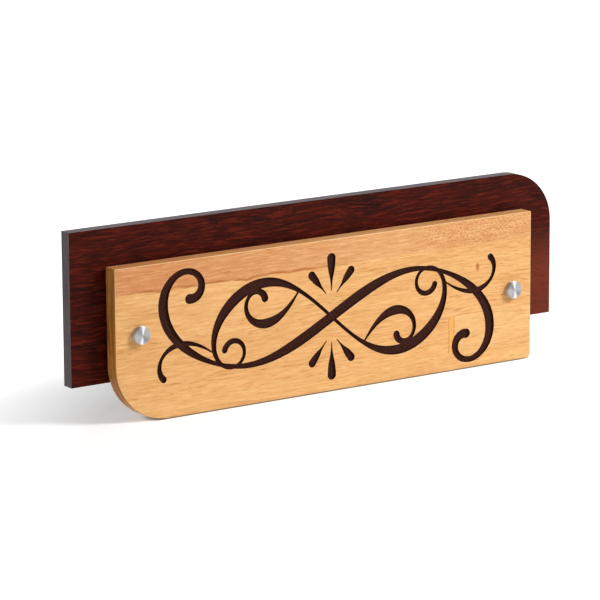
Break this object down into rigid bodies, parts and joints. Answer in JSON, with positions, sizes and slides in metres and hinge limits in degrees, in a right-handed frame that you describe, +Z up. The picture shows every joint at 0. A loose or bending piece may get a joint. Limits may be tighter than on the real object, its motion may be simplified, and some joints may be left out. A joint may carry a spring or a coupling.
{
  "type": "wall name plate",
  "caption": "Wall name plate: a pale edge-glued wooden board stands off a dark wooden board on steel-capped screw fixings, with large rounded opposite corners and keyhole hangers behind.",
  "frame": {"origin": "middle of the dark board's back face, which lies on the wall", "axes": "+X along the plate to the reader's right, +Y out of the back into the wall, +Z up"},
  "size_m": [0.457, 0.0312, 0.151],
  "materials": {
    "dark_wood": "stained and satin lacquered",
    "pale_wood": "planed, edge glued, clear lacquered",
    "turned_steel": "face turned stainless steel",
    "plated_steel": "zinc plated",
    "soft_washer": "soft translucent plastic",
    "black_rubber": "matt rubber"
  },
  "bodies": {
    "plate": {"back_board": "dark_wood", "front_stave_top": "pale_wood", "front_stave_middle": "pale_wood", "front_stave_lower_left": "pale_wood", "front_stave_lower_right": "pale_wood", "front_stave_bottom": "pale_wood", "left_base_disc": "plated_steel", "left_board_screw": "plated_steel", "left_spacer": "black_rubber", "right_base_disc": "plated_steel", "right_board_screw": "plated_steel", "right_spacer": "black_rubber", "left_hanger": "plated_steel", "left_hanger_screw_upper": "plated_steel", "left_hanger_screw_lower": "plated_steel", "right_hanger": "plated_steel", "right_hanger_screw_upper": "plated_steel", "right_hanger_screw_lower": "plated_steel"},
    "left_washer": {"left_cap_washer": "soft_washer"},
    "left_cap": {"left_cap": "turned_steel"},
    "right_washer": {"right_cap_washer": "soft_washer"},
    "right_cap": {"right_cap": "turned_steel"}
  },
  "joints": [
    {"name": "left_cap_travel", "type": "slide", "parent": "plate", "child": "left_washer", "axis": [0, -1, 0], "range_m": [0, 0.002]},
    {"name": "left_cap_turn", "type": "hinge", "parent": "left_washer", "child": "left_cap", "pos_m": [-0.177, -0.0293, -0.022], "axis": [0, -1, 0], "range_deg": [0, 720]},
    {"name": "right_cap_travel", "type": "slide", "parent": "plate", "child": "right_washer", "axis": [0, -1, 0], "range_m": [0, 0.002]},
    {"name": "right_cap_turn", "type": "hinge", "parent": "right_washer", "child": "right_cap", "pos_m": [0.1775, -0.0293, -0.0315], "axis": [0, -1, 0], "range_deg": [0, 720]}
  ],
  "couplings": [
    {"joint": "left_cap_travel", "follows": "left_cap_turn", "m_per_rad": 0.00015915},
    {"joint": "right_cap_travel", "follows": "right_cap_turn", "m_per_rad": 0.00015915}
  ]
}
